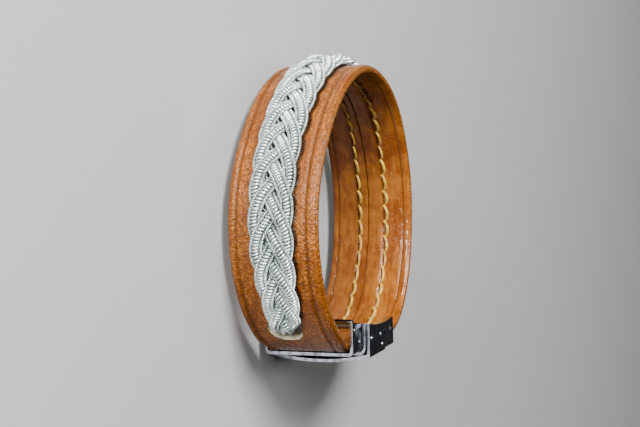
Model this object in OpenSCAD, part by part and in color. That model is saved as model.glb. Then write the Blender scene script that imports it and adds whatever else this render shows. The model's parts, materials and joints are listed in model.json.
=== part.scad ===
// Leather bracelet with a braid of pewter thread along its outside and a steel fold-over clasp.
// It lies on its side: the loop's axis is +Z, the clasp is at -Y, the front of the loop is at -X.

/* [Leather band] */
// Width of the leather band across the wrist
band_w = 19; // [17:0.5:21]
// Thickness of the leather band
band_t = 2; // [1.8:0.1:2.2]
// Width of the band where it enters the front tray
band_end_w = 16.4; // [15:0.1:17]
// Sideways place of the band's middle there
band_end_z = 0.4; // [-0.4:0.1:0.5]

/* [Punched holes for the braid's ends] */
// Diameter of each hole
hole_d = 7.3; // [7:0.1:8]
// Depth of each hole
hole_depth = 1.4; // [1:0.1:1.5]
// Distance of the front hole's middle along the band, from the leather's front end
front_hole_s = 20.5; // [19:0.1:22]
// Distance of the back hole's middle along the band, from the leather's front end
back_hole_s = 161.3; // [156:0.1:164]
// Sideways place of both holes
hole_z = -1.3; // [-2:0.1:1.5]

/* [Braid] */
// Half the distance that a strand swings from side to side
swing = 3.45; // [3.2:0.05:3.6]
// Height that a strand rises and falls about the braid's middle
rise = 0.74; // [0.7:0.01:0.8]
// Share of the rise that steepens the change between over and under
rise_snap = 0.25; // [0.2:0.01:0.3]
// Length of one full weave of a strand, along the leather's middle
weave_l = 29.7; // [28:0.1:32]
// Half the width of a strand
strand_a = 1.4; // [1.2:0.01:1.45]
// Half the thickness of a strand
strand_b = 0.55; // [0.4:0.01:0.58]
// Height of the braid's middle over the leather's outer face
braid_lift = 1.41; // [1.38:0.01:1.6]
// Sideways place of the braid along most of the band
braid_z = 0.35; // [-1:0.05:1]

/* [Clasp] */
// Outer width of the front tray
tray_w = 19.6; // [19.4:0.1:20]
// Thickness of the sheet steel
sheet_t = 0.65; // [0.5:0.05:0.7]
// Gap between two nested walls
nest_gap = 0.08; // [0.06:0.01:0.1]
// Length of the front tray
tray_l = 12.5; // [11:0.5:13]
// Length of the cover
cover_l = 15.8; // [15:0.1:16]
// Diameter of the crossbar of the front tray
bar_d = 1.2; // [1:0.1:1.4]
// Diameter of the hinge pin
pin_d = 1.2; // [1:0.1:1.3]

/* [Hidden] */
$fn = 48;

// Route of the leather's middle, from its end in the front tray round to its end in the housing
front_end_x = -3.2;
front_end_y = -25.25;
RADIUS = 0;
TURN = 1;
RUN = 2;
LOOP = [
    // radius, turn, straight run
    [0, 0, 8.8],
    [7.92, 30, 0],
    [28.81, 50, 0],
    [25, 40, 0],
    [39, 40, 0],
    [26.5, 80, 0],
    [36, 40, 0],
    [30.5, 30, 0],
    [15.7, 50, 0],
    [0, 0, 10]
];
rows = len(LOOP);
// Largest turn between two rings round the band, and steps round each of its rims
turn_step = 5;
rim_steps = 5;
// Stretch over which the band widens to its full width in round shoulders, with its rings' steps and
// the room between them and the other rings
taper_from = 9.5;
taper_l = 7;
shoulder_steps = 8;
ring_room = 0.3;

function row_length(row) = row[RUN] + row[RADIUS] * row[TURN] * PI / 180;
function row_end(p, a, row) =
    row[TURN] == 0
        ? p + row[RUN] * [cos(a), sin(a)]
        : p + row[RADIUS] * [sin(a) - sin(a - row[TURN]), cos(a - row[TURN]) - cos(a)];
function row_heading(i) = i == 0 ? 180 : row_heading(i - 1) - LOOP[i - 1][TURN];
function row_start(i) =
    i == 0 ? [front_end_x, front_end_y] : row_end(row_start(i - 1), row_heading(i - 1), LOOP[i - 1]);
function row_s(i) = i == 0 ? 0 : row_s(i - 1) + row_length(LOOP[i - 1]);

HEADINGS = [for (i = [0 : rows - 1]) row_heading(i)];
STARTS = [for (i = [0 : rows - 1]) row_start(i)];
DISTANCES = [for (i = [0 : rows]) row_s(i)];

// Row of the route that a distance along it falls in
function row_at(s, i = 0) = i >= rows - 1 || s < DISTANCES[i + 1] ? i : row_at(s, i + 1);
function along_row(s, i) =
    LOOP[i][TURN] == 0
        ? [0, 0, s - DISTANCES[i]]
        : [LOOP[i][RADIUS], (s - DISTANCES[i]) / LOOP[i][RADIUS] * 180 / PI, 0];
function heading_at(s) = let (i = row_at(s)) HEADINGS[i] - along_row(s, i)[TURN];
function middle_at(s) = let (i = row_at(s)) row_end(STARTS[i], HEADINGS[i], along_row(s, i));
// Point that lies out from the leather's middle and to the side
function point_at(s, out, side) =
    let (a = heading_at(s), m = middle_at(s)) [m[0] - out * sin(a), m[1] + out * cos(a), side];

// Braid: it starts past the middle of the front hole and ends past the middle of the back hole
past_hole = 1;
braid_start = front_hole_s - past_hole;
braid_end = back_hole_s + past_hole;
mid_out = band_t / 2 + braid_lift;
// Top of a strand over the braid's middle: the steepened wave peaks at this share over the rise
wave_peak = 1.1;
braid_h = braid_lift + rise * wave_peak + strand_b;
// Distance over which the braid narrows towards its hole, and the share of its size that is left
narrow_l = 24;
end_share = 0.75;
// Distance over which its strands then draw together to tips, the share of the section that is left,
// and the share of a strand's own size that is left beside that
tip_l = 5.6;
tip_share = 0.37;
tip_thin = 0.62;
// Distance over which it moves over to its hole
shift_l = 7.5;
// Distance over which it dives into the hole, and how deep
dive_l = 4.5;
dive_depth = 1.9;
// Place in its weave where the first strand starts, and the step to the next strand
weave_phase = 67;
strand_step = 360 / 5;
// The braid's run on the outside of the bend, as a share of the leather's middle
outer_run = 1.09;
// Rings along a strand, points round it, and the power of its lens-like outline
braid_rings = 116;
ring_sides = 8;
ring_power = 1.6;

// Clasp: places in the same plane as the leather's route
tray_floor_y = -27.05;
tray_top_y = -19.9;
tray_front_x = -13.5;
housing_front_x = -7.9;
housing_back_x = 8.3;
housing_top_y = -21.05;
cover_front_x = -7.2;
cover_top_y = -21.1;
cover_corner_y = -28.3;
cover_crown_y = -29.6;
cover_floor_l = 10.2;
cover_dip = 1.26;
cover_dip_x = 3.2;
ear_inside_y = -26.4;
ear_bottom_y = -27.9;
bar_x = -12.4;
bar_y = -20.1;
pin_x = 6.4;
pin_y = -24.2;

// Bumps and ribs pressed out of the side walls: place, diameter
BUMP_X = 0;
BUMP_Y = 1;
BUMP_D = 2;
TRAY_BUMPS = [[-11.8, -21.9, 1.6], [-9.4, -24.6, 0.9]];
COVER_BUMPS = [[-5.3, -24.6, 1.7], [1, -26.8, 1]];
bump_h = 0.15;
rib_x = 2.2;
rib_y = -24.5;
rib_l = 5;
rib_w = 1.1;

// Fall of the tops of the tray's walls towards the hinge, in degrees
tray_fall = 11.8;

// Radii of the bent corners, the play of the pin and the fine facets of the long curves
tray_corner_r = 1.1;
housing_corner_r = 1.5;
pin_play = 0.1;
fine = 180;

housing_w = tray_w + 2 * (nest_gap + sheet_t);
cover_w = housing_w + 2 * (nest_gap + sheet_t);
housing_floor_y = tray_floor_y - nest_gap - sheet_t;

// Place of the origin: under the middle of the whole bracelet
top_row = 5;
top_s = DISTANCES[top_row] + LOOP[top_row][RADIUS] * HEADINGS[top_row] * PI / 180;
top_y = middle_at(top_s)[1] + band_t / 2 + braid_h;
shift_y = -(top_y + cover_crown_y) / 2;
shift_z = cover_w / 2 + bump_h;

module placed() {
    translate([0, shift_y, shift_z]) children();
}

function ease(x) = let (c = max(0, min(1, x))) c * c * (3 - 2 * c);

// Closed solid through rings of n points each
module swept(n, points) {
    rings = len(points) / n;
    walls = [for (i = [0 : rings - 2]) for (j = [0 : n - 1])
        [i * n + j, i * n + (j + 1) % n, (i + 1) * n + (j + 1) % n, (i + 1) * n + j]];
    first_end = [[for (j = [n - 1 : -1 : 0]) j]];
    last_end = [[for (j = [0 : n - 1]) (rings - 1) * n + j]];
    polyhedron(points, concat(walls, first_end, last_end), convexity = 10);
}

// Leather band: a strip with round rims, carried along the route

function shoulder_at(s) = ease((s - taper_from) / taper_l);
function band_width_at(s) = band_end_w + (band_w - band_end_w) * shoulder_at(s);
function band_z_at(s) = band_end_z * (1 - shoulder_at(s));

// Half circle of points round one rim: side is 1 for the upper rim and -1 for the lower one
function rim_points(s, side) =
    let (r = band_t / 2, middle = band_width_at(s) / 2 - r, first = side > 0 ? 0 : 180)
    [for (j = [0 : rim_steps])
        let (t = first + 180 * j / rim_steps)
        point_at(s, r * cos(t), band_z_at(s) + side * middle + r * sin(t))];
function band_ring(s) = concat(rim_points(s, 1), rim_points(s, -1));

module braid_hole(s) {
    m = middle_at(s);
    a = heading_at(s);
    translate([m[0], m[1], hole_z]) rotate([0, 90, a + 90])
        translate([0, 0, band_t / 2 - hole_depth]) cylinder(d = hole_d, h = hole_depth + 1);
}

module leather_band() {
    // Rings stand at the start of each row, at even steps of turn in a bend and, instead of those, at
    // even steps along the shoulders
    turn_stations = [
        for (i = [0 : rows - 1])
            let (steps = LOOP[i][TURN] == 0 ? 1 : ceil(LOOP[i][TURN] / turn_step))
            for (j = [0 : steps - 1]) DISTANCES[i] + j * (DISTANCES[i + 1] - DISTANCES[i]) / steps
    ];
    shoulder_end = taper_from + taper_l;
    stations = [
        for (s = turn_stations) if (s < taper_from - ring_room) s,
        for (j = [0 : shoulder_steps]) taper_from + j * taper_l / shoulder_steps,
        for (s = turn_stations) if (s > shoulder_end + ring_room) s,
        DISTANCES[rows]
    ];
    placed() color("peru") difference() {
        swept(len(band_ring(0)), [for (s = stations) each band_ring(s)]);
        braid_hole(front_hole_s);
        braid_hole(back_hole_s);
    }
}

// Braid: five strands that swing from side to side, over two and under two

function end_distance(s) = min(s - braid_start, braid_end - s);
function eased_share(s, share, l) = share + (1 - share) * ease(end_distance(s) / l);
// Size of the braid's section as a share of its full size
function size_at(s) = eased_share(s, end_share, narrow_l) * eased_share(s, tip_share, tip_l);
function side_at(s) = hole_z + (braid_z - hole_z) * ease(end_distance(s) / shift_l);
function out_at(s) = mid_out - dive_depth * (1 - ease(end_distance(s) / dive_l));

// Distance along the leather, height over its middle and sideways place of a strand's middle
function strand_centre(s, k) =
    let (w = weave_phase + 360 * (braid_start - s) / weave_l + strand_step * k)
    [
        s,
        out_at(s) + size_at(s) * rise * (sin(2 * w) + rise_snap * sin(4 * w)),
        side_at(s) + size_at(s) * swing * sin(w)
    ];

function signed_power(v, p) = sign(v) * pow(abs(v), p);
// Ring of points round a strand, square to its run along the leather
function strand_ring(s, k) =
    let (c = strand_centre(s, k), ds = 0.1, n = strand_centre(s + ds, k), p = strand_centre(s - ds, k),
         lean = atan2(n[2] - p[2], 2 * ds * outer_run), size = size_at(s) * eased_share(s, tip_thin, tip_l))
    [for (j = [0 : ring_sides - 1])
        let (t = 360 * j / ring_sides,
             across = size * strand_a * signed_power(cos(t), 2 / ring_power),
             up = size * strand_b * signed_power(sin(t), 2 / ring_power),
             s_there = c[0] - across * sin(lean) / outer_run,
             out_there = c[1] + out_at(s_there) - out_at(c[0]) + up)
        point_at(s_there, out_there, c[2] + across * cos(lean))];

module strand(k) {
    step = (braid_end - braid_start) / braid_rings;
    placed() color("lightgray")
        swept(ring_sides, [for (i = [0 : braid_rings]) each strand_ring(braid_start + i * step, k)]);
}

module braid_strand_1() { strand(0); }
module braid_strand_2() { strand(1); }
module braid_strand_3() { strand(2); }
module braid_strand_4() { strand(3); }
module braid_strand_5() { strand(4); }

// Clasp: nested channels of sheet steel. A channel's profile has x as height and y as width

module low_rounded(bottom, top, w, r) {
    translate([bottom + r, -w / 2]) square([top - bottom - r, w]);
    translate([bottom, -w / 2 + r]) square([top - bottom, w - 2 * r]);
    translate([bottom + r, w / 2 - r]) circle(r);
    translate([bottom + r, -w / 2 + r]) circle(r);
}

module channel(x0, x1, bottom, top, w, r) {
    translate([x0, 0, 0]) rotate([90, 0, 90]) linear_extrude(x1 - x0) difference() {
        low_rounded(bottom, top, w, r);
        low_rounded(bottom + sheet_t, top + 1, w - 2 * sheet_t, r - sheet_t);
    }
}

// Round bump pressed out of both side walls
module wall_bumps(bumps, w) {
    for (bump = bumps, side = [0, 1]) mirror([0, 0, side])
        translate([bump[BUMP_X], bump[BUMP_Y], w / 2 - sheet_t / 2])
            cylinder(d = bump[BUMP_D], h = sheet_t / 2 + bump_h);
}

module pin_bore() {
    translate([pin_x, pin_y, -cover_w]) cylinder(d = pin_d + pin_play, h = 2 * cover_w);
}

// Space over the walls of the front tray, whose tops fall towards the hinge
module tray_top_cut() {
    translate([tray_front_x, tray_top_y, -tray_w]) rotate([0, 0, -tray_fall])
        translate([-1, 0, 0]) cube([tray_l + 2, tray_l, 2 * tray_w]);
}

module front_tray() {
    placed() color("silver") union() {
        difference() {
            channel(tray_front_x, tray_front_x + tray_l, tray_floor_y, tray_top_y, tray_w, tray_corner_r);
            tray_top_cut();
        }
        translate([bar_x, bar_y, -tray_w / 2 + sheet_t / 2]) cylinder(d = bar_d, h = tray_w - sheet_t);
        wall_bumps(TRAY_BUMPS, tray_w);
    }
}

module back_housing() {
    placed() color("gray") difference() {
        channel(housing_front_x, housing_back_x, housing_floor_y, housing_top_y, housing_w,
                housing_corner_r);
        long_dip();
        pin_bore();
    }
}

// Outline of the cover's end: straight walls over a crowned floor
module cover_profile(w, corner_y, crown_y) {
    sag = corner_y - crown_y;
    crown_r = (w * w / 4 + sag * sag) / (2 * sag);
    intersection() {
        translate([crown_y - 1, -w / 2]) square([cover_top_y - crown_y + 3, w]);
        union() {
            translate([crown_y + crown_r, 0]) circle(crown_r, $fn = fine);
            translate([corner_y + 1, -w / 2]) square([cover_top_y - corner_y + 2, w]);
        }
    }
}

// Long shallow dip along the tops of the walls of the cover and the housing
module long_dip() {
    half = cover_dip_x - cover_front_x;
    dip_r = (half * half + cover_dip * cover_dip) / (2 * cover_dip);
    translate([cover_dip_x, cover_top_y - cover_dip + dip_r, -cover_w])
        cylinder(r = dip_r, h = 2 * cover_w, $fn = fine);
}

// Space behind the floor, so that the cover can swing down on its ears
module cover_floor_cut() {
    floor_end_x = cover_front_x + cover_floor_l;
    below = cover_crown_y - 1;
    translate([floor_end_x, below, -cover_w / 2 + sheet_t])
        cube([cover_l, ear_inside_y - below, cover_w - 2 * sheet_t]);
    translate([floor_end_x, below, -cover_w]) cube([cover_l, ear_bottom_y - below, 2 * cover_w]);
}

module cover_ribs() {
    for (side = [0, 1]) mirror([0, 0, side]) translate([rib_x, rib_y, cover_w / 2 - sheet_t / 2]) {
        for (end = [-1, 1]) translate([end * (rib_l - rib_w) / 2, 0, 0])
            cylinder(d = rib_w, h = sheet_t / 2 + bump_h);
        translate([-(rib_l - rib_w) / 2, -rib_w / 2, 0])
            cube([rib_l - rib_w, rib_w, sheet_t / 2 + bump_h]);
    }
}

module clasp_cover() {
    placed() color("gainsboro") union() {
        difference() {
            translate([cover_front_x, 0, 0]) rotate([90, 0, 90]) linear_extrude(cover_l)
                difference() {
                    cover_profile(cover_w, cover_corner_y, cover_crown_y);
                    cover_profile(cover_w - 2 * sheet_t, cover_corner_y + sheet_t, cover_crown_y + sheet_t);
                }
            long_dip();
            cover_floor_cut();
            pin_bore();
        }
        wall_bumps(COVER_BUMPS, cover_w);
        cover_ribs();
    }
}

module hinge_pin() {
    placed() color("dimgray")
        translate([pin_x, pin_y, -cover_w / 2]) cylinder(d = pin_d, h = cover_w);
}

leather_band();
braid_strand_1();
braid_strand_2();
braid_strand_3();
braid_strand_4();
braid_strand_5();
front_tray();
back_housing();
clasp_cover();
hinge_pin();
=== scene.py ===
"""Leather bracelet with a braid of wound pewter and a fold-over clasp, dressed round its frame."""

import json
import math

import bmesh
import bpy
import numpy as np
from bpy.props import FloatProperty, FloatVectorProperty, IntProperty, PointerProperty
from mathutils import Matrix, Vector


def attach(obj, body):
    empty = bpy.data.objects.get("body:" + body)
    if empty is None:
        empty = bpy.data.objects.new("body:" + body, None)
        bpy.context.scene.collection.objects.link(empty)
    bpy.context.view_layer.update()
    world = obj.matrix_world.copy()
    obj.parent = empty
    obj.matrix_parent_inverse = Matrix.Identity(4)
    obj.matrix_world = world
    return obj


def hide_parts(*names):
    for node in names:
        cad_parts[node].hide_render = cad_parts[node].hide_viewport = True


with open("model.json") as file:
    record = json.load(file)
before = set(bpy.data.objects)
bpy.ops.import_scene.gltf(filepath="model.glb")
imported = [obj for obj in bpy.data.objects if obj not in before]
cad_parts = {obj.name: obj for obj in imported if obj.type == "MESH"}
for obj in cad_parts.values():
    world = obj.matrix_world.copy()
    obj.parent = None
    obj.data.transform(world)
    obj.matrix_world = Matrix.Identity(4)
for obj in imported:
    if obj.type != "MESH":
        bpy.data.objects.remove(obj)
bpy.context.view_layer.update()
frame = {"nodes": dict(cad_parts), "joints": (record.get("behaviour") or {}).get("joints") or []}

bl_info = {
    "name": "Leather bracelet",
    "version": (1, 0, 0),
    "blender": (4, 5, 0),
    "location": "3D View > Sidebar > Bracelet",
    "description": "Makes a leather bracelet with a braid of wound pewter thread and a fold-over clasp",
    "category": "Add Mesh",
}

# Lengths inside the shape functions are millimetres, and MM turns them into metres
MM = 0.001

# Route of the leather's middle: radius of the bend, turn in degrees, straight run
ROUTE = (
    (0, 0, 8.8),
    (7.92, 30, 0),
    (28.81, 50, 0),
    (25, 40, 0),
    (39, 40, 0),
    (26.5, 80, 0),
    (36, 40, 0),
    (30.5, 30, 0),
    (15.7, 50, 0),
    (0, 0, 10),
)
# Where the route starts, and its heading there in degrees
ROUTE_START = (-3.2, -25.25)
ROUTE_HEADING = 180
# Place of the hinge pin beside the route, which ties the route to the frame
PIN_PLACE = (6.4, -24.2, 0)


class Route:
    """The way of the leather's middle round the wrist."""

    def __init__(self, rows, start, heading, shift):
        self.rows = np.array(rows, float)
        radius, turn, run = self.rows.T
        self.ends = np.concatenate([[0], np.cumsum(run + radius * np.radians(turn))])
        self.headings = heading - np.concatenate([[0], np.cumsum(turn)[:-1]])
        self.shift = np.array(shift, float)
        self.starts = [np.array(start, float)]
        for i in range(len(rows) - 1):
            x, y, _ = self._step(np.array([self.ends[i + 1]]), np.array([i]))
            self.starts.append(np.array([x[0], y[0]]))

    @property
    def length(self):
        """Length of the whole route."""
        return self.ends[-1]

    def _step(self, s, row):
        """Place and heading at each distance s, which lies in its row of the route."""
        starts = np.array(self.starts)[row]
        radius, turn, _ = self.rows[row].T
        along = s - self.ends[row]
        bends = turn > 0
        first = np.radians(self.headings[row])
        last = first - np.where(bends, along / np.where(bends, radius, 1), 0)
        straight = np.where(bends, 0, along)
        x = starts[:, 0] + straight * np.cos(first) + radius * (np.sin(first) - np.sin(last))
        y = starts[:, 1] + straight * np.sin(first) + radius * (np.cos(last) - np.cos(first))
        return x, y, last

    def at(self, s):
        """Middle and heading at distances s along the leather."""
        s = np.atleast_1d(np.asarray(s, float))
        row = np.clip(np.searchsorted(self.ends, s, side="right") - 1, 0, len(self.rows) - 1)
        return self._step(s, row)

    def place(self, s, out, side):
        """Points that lie out from the leather's middle and to the side, in metres in the frame."""
        s, out, side = np.broadcast_arrays(np.asarray(s, float), out, side)
        x, y, heading = self.at(s.ravel())
        out, side = out.ravel(), side.ravel()
        points = np.stack([x - out * np.sin(heading), y + out * np.cos(heading), side], axis=1)
        return (points + self.shift) * MM

    def outward(self, s):
        """Unit vectors that point away from the wrist."""
        _, _, heading = self.at(s)
        return np.stack([-np.sin(heading), np.cos(heading), np.zeros_like(heading)], axis=1)


def frame_shift():
    """How far the frame's origin lies from the route's, from the place of the hinge."""
    hinge = next(joint for joint in frame["joints"] if joint["name"] == "cover_hinge")
    return [hinge["pos_m"][axis] / MM - PIN_PLACE[axis] for axis in range(3)]


route = Route(ROUTE, ROUTE_START, ROUTE_HEADING, frame_shift())


def ease(x):
    """Smooth step from 0 to 1."""
    x = np.clip(x, 0, 1)
    return x * x * (3 - 2 * x)


def dip(x, place, half, depth):
    """Smooth groove of that depth and half width at a place."""
    return depth * (0.5 + 0.5 * np.cos(np.pi * np.clip(np.abs(x - place) / half, 0, 1)))


# Settings that a user would change


def length(name, description, default):
    """A length that a user can change, in metres."""
    return FloatProperty(name=name, description=description, default=default, unit="LENGTH", precision=5)


def colour(name, description, default):
    """A colour that a user can change."""
    return FloatVectorProperty(
        name=name, description=description, default=default, subtype="COLOR", size=3, min=0, max=1
    )


def power(name, description, default):
    """Power of a light that a user can change, in watts."""
    return FloatProperty(name=name, description=description, default=default, unit="POWER")


class LeatherSettings(bpy.types.PropertyGroup):
    width: length("Width", "Width of the band across the wrist", 0.019)
    end_width: length("End width", "Width of the band where it enters the front tray", 0.0164)
    end_side: length("End side", "Sideways place of the band where it enters the front tray", 0.0004)
    thickness: length("Thickness", "Thickness of the band", 0.002)
    crease_inset: length("Crease inset", "Distance of the pressed crease from the band's edge", 0.0025)
    low_inset: length("Lower crease inset", "The same at the edge that lies on the floor", 0.0018)
    crease_depth: length("Crease depth", "Depth of the pressed crease", 0.00022)
    hole_width: length("Hole width", "Diameter of the holes that the braid's ends go into", 0.0073)
    hole_depth: length("Hole depth", "Depth of those holes", 0.0014)
    outside: colour("Outside", "Colour of the grained side", (0.30, 0.084, 0.008))
    inside: colour("Inside", "Colour of the smooth inner side", (0.235, 0.066, 0.008))
    edge: colour("Edge", "Colour of the burnished edge", (0.21, 0.074, 0.008))
    raw: colour("Raw edge", "Colour of the leather's cut edge in the holes", (0.96, 0.80, 0.56))


class StitchSettings(bpy.types.PropertyGroup):
    pitch: length("Pitch", "Distance from stitch to stitch", 0.00353)
    thread: length("Thread", "Diameter of the waxed thread", 0.00062)
    seed: IntProperty(name="Seed", description="Seed of the stitches' small differences", default=7)
    shade: colour("Thread colour", "Colour of the waxed thread", (0.53, 0.32, 0.026))


class BraidSettings(bpy.types.PropertyGroup):
    thick: length("Thick coil", "Outer width of a strand's middle coil", 0.00155)
    thick_wire: length("Thick wire", "Diameter of the wire that the middle coil is wound of", 0.00054)
    thick_pitch: length("Thick pitch", "Distance from turn to turn of the middle coil", 0.00068)
    flatness: FloatProperty(
        name="Flatness",
        description="Height of the middle coil over its width",
        default=0.72,
        min=0,
        max=1,
        subtype="FACTOR",
    )
    thin: length("Thin coil", "Outer diameter of the coils on both sides", 0.0007)
    thin_wire: length("Thin wire", "Diameter of the wire that the side coils are wound of", 0.000225)
    thin_pitch: length("Thin pitch", "Distance from turn to turn of the side coils", 0.00034)
    shade: colour("Pewter", "Colour of the pewter wire", (0.87, 0.98, 0.965))


class ClaspSettings(bpy.types.PropertyGroup):
    bevel: length("Edge radius", "Width of the broken edges of the sheet", 0.00012)
    shade: colour("Steel", "Colour of the polished steel", (0.28, 0.295, 0.33))


class StageSettings(bpy.types.PropertyGroup):
    floor: colour("Floor", "Colour of the floor", (0.42, 0.42, 0.416))
    key_power: power("Key light", "Power of the main soft light", 13.5)
    fill_power: power("Fill light", "Power of the soft light from the front", 9.0)
    back_power: power("Back light", "Power of the soft light from behind", 1.4)
    sky: FloatProperty(name="Sky", description="Strength of the even light all round", default=0.05)


class BandSettings(bpy.types.PropertyGroup):
    leather: PointerProperty(type=LeatherSettings, name="Leather", description="The leather band")
    stitches: PointerProperty(type=StitchSettings, name="Stitches", description="The two rows of stitches")
    braid: PointerProperty(type=BraidSettings, name="Braid", description="The braid of wound pewter")
    clasp: PointerProperty(type=ClaspSettings, name="Clasp", description="The steel clasp")
    stage: PointerProperty(type=StageSettings, name="Stage", description="Floor, lights and camera")


def settings():
    """All sizes and colours that a user can change."""
    return bpy.context.scene.bracelet


# Helpers for nodes and meshes


def opaque(value):
    """The value itself, or with an alpha of 1 where it is a colour."""
    is_colour = isinstance(value, tuple) and len(value) == 3
    return (*value, 1) if is_colour else value


class Graph:
    """Adds nodes to a shader or geometry tree and links their sockets."""

    def __init__(self, tree):
        self.tree = tree

    def add(self, kind, inputs=None, **properties):
        """A new node with these properties, and with its inputs set or linked."""
        node = self.tree.nodes.new(kind)
        for key, value in properties.items():
            setattr(node, key, value)
        for key, value in (inputs or {}).items():
            self.feed(node.inputs[key], value)
        return node

    def feed(self, socket, value):
        """Links another socket to this one, or sets its value."""
        if isinstance(value, bpy.types.NodeSocket):
            self.tree.links.new(value, socket)
        else:
            socket.default_value = value

    def math(self, operation, *values, clamp=False):
        node = self.add("ShaderNodeMath", operation=operation, use_clamp=clamp)
        for socket, value in zip(node.inputs, values):
            self.feed(socket, value)
        return node.outputs[0]

    def vector(self, operation, *values):
        node = self.add("ShaderNodeVectorMath", operation=operation)
        for socket, value in zip(node.inputs, values):
            self.feed(socket, value)
        return node.outputs["Vector"]

    def scaled(self, vector, factor):
        node = self.add("ShaderNodeVectorMath", {0: vector, "Scale": factor}, operation="SCALE")
        return node.outputs["Vector"]

    def remap(self, value, low, high, to_low=0.0, to_high=1.0):
        """Smooth step that starts at low and ends at high."""
        node = self.add(
            "ShaderNodeMapRange",
            {"Value": value, "From Min": low, "From Max": high, "To Min": to_low, "To Max": to_high},
            interpolation_type="SMOOTHSTEP",
        )
        return node.outputs["Result"]

    def blend(self, factor, first, second):
        """Mix of two colours, which a Mix node takes at sockets 6 and 7 and gives at socket 2."""
        inputs = {"Factor": factor, 6: opaque(first), 7: opaque(second)}
        return self.add("ShaderNodeMix", inputs, data_type="RGBA").outputs[2]

    def noise(self, place, scale, detail=2.0, roughness=0.5, stretch=None):
        if stretch:
            place = self.vector("MULTIPLY", place, stretch)
        inputs = {"Vector": place, "Scale": scale, "Detail": detail, "Roughness": roughness}
        return self.add("ShaderNodeTexNoise", inputs).outputs["Fac"]


def shaded(name, socket_values):
    """A new material with a Principled shader that holds these constants."""
    material = bpy.data.materials.new(name)
    material.use_nodes = True
    shader = material.node_tree.nodes["Principled BSDF"]
    for key, value in socket_values.items():
        shader.inputs[key].default_value = opaque(value)
    return material, Graph(material.node_tree), shader


def toned(shade, *factors):
    """Colour times one factor, or times one for each channel, and no channel above 1."""
    factors = factors * 3 if len(factors) == 1 else factors
    return tuple(min(1, channel * factor) for channel, factor in zip(shade, factors))


def clouded(graph, shader, pattern, low, high, first, second):
    """Base colour that goes from the first shade to the second as a pattern rises from low to high."""
    graph.feed(shader.inputs["Base Color"], graph.blend(graph.remap(pattern, low, high), first, second))


def object_mm(graph):
    """Object coordinates in millimetres."""
    place = graph.add("ShaderNodeTexCoord").outputs["Object"]
    return graph.scaled(place, 1 / MM)


def bumped(graph, shader, height, distance, strength=1.0):
    """Bump from a height, with its distance in millimetres."""
    inputs = {"Height": height, "Distance": distance * MM, "Strength": strength}
    graph.feed(shader.inputs["Normal"], graph.add("ShaderNodeBump", inputs).outputs["Normal"])


def new_piece(name, mesh, body, replaced=()):
    """Links a mesh as a finished piece that rides on a body."""
    piece = bpy.data.objects.new(name, mesh)
    bpy.context.scene.collection.objects.link(piece)
    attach(piece, body)
    if replaced:
        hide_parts(*replaced)


def smooth(mesh, sharp_angle=None):
    """Smooth shading, with edges sharp where the faces turn by more than an angle in degrees."""
    mesh.polygons.foreach_set("use_smooth", np.ones(len(mesh.polygons), bool))
    if sharp_angle is not None:
        mesh.set_sharp_from_angle(angle=math.radians(sharp_angle))
    mesh.update()


def grid_mesh(name, points, rings, around):
    """Closed skin through rings of points, with a cap on both ends."""
    index = np.arange(rings * around).reshape(rings, around)
    a, b = index[:-1], index[1:]
    quads = np.stack([a, np.roll(a, -1, 1), np.roll(b, -1, 1), b], axis=-1).reshape(-1, 4)
    faces = quads.tolist() + [index[0][::-1].tolist(), index[-1].tolist()]
    mesh = bpy.data.meshes.new(name)
    mesh.from_pydata(points.tolist(), [], faces)
    return mesh


def facing_out(mesh):
    """Turns the faces of a closed mesh outwards."""
    work = bmesh.new()
    work.from_mesh(mesh)
    bmesh.ops.recalc_face_normals(work, faces=work.faces)
    work.to_mesh(mesh)
    work.free()


def path_mesh(name, points, vectors):
    """A line of edges through points, with named vectors on them."""
    mesh = bpy.data.meshes.new(name)
    edges = [(i, i + 1) for i in range(len(points) - 1)]
    mesh.from_pydata(points.tolist(), edges, [])
    for key, values in vectors.items():
        layer = mesh.attributes.new(key, "FLOAT_VECTOR", "POINT")
        layer.data.foreach_set("vector", np.asarray(values, np.float32).ravel())
    return mesh


def new_tree(name, sizes):
    """An empty geometry tree with a geometry input and output and named number inputs."""
    tree = bpy.data.node_groups.new(name, "GeometryNodeTree")
    tree.interface.new_socket("Path", in_out="INPUT", socket_type="NodeSocketGeometry")
    for key, kind in sizes.items():
        tree.interface.new_socket(key, in_out="INPUT", socket_type=kind)
    tree.interface.new_socket("Geometry", in_out="OUTPUT", socket_type="NodeSocketGeometry")
    graph = Graph(tree)
    source = graph.add("NodeGroupInput")
    result = graph.add("NodeGroupOutput")
    return graph, source.outputs, result.inputs["Geometry"]


def path_vector(graph, name):
    """A named vector that the path's points carry."""
    node = graph.add("GeometryNodeInputNamedAttribute", {"Name": name}, data_type="FLOAT_VECTOR")
    return node.outputs["Attribute"]


def ring(graph, sides, radius):
    """A round profile for a tube."""
    inputs = {"Resolution": sides, "Radius": radius}
    return graph.add("GeometryNodeCurvePrimitiveCircle", inputs).outputs["Curve"]


def tube(graph, curve, profile):
    """Closed tube along a curve."""
    inputs = {"Curve": curve, "Profile Curve": profile, "Fill Caps": True}
    return graph.add("GeometryNodeCurveToMesh", inputs).outputs["Mesh"]


def dressed(graph, parts, material):
    """Joins parts of a geometry tree, makes their instances real and sets their material."""
    joined = graph.add("GeometryNodeJoinGeometry")
    for part in parts:
        graph.feed(joined.inputs["Geometry"], part)
    real = graph.add("GeometryNodeRealizeInstances", {"Geometry": joined.outputs["Geometry"]})
    inputs = {"Geometry": real.outputs["Geometry"], "Material": material}
    return graph.add("GeometryNodeSetMaterial", inputs).outputs["Geometry"]


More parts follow.
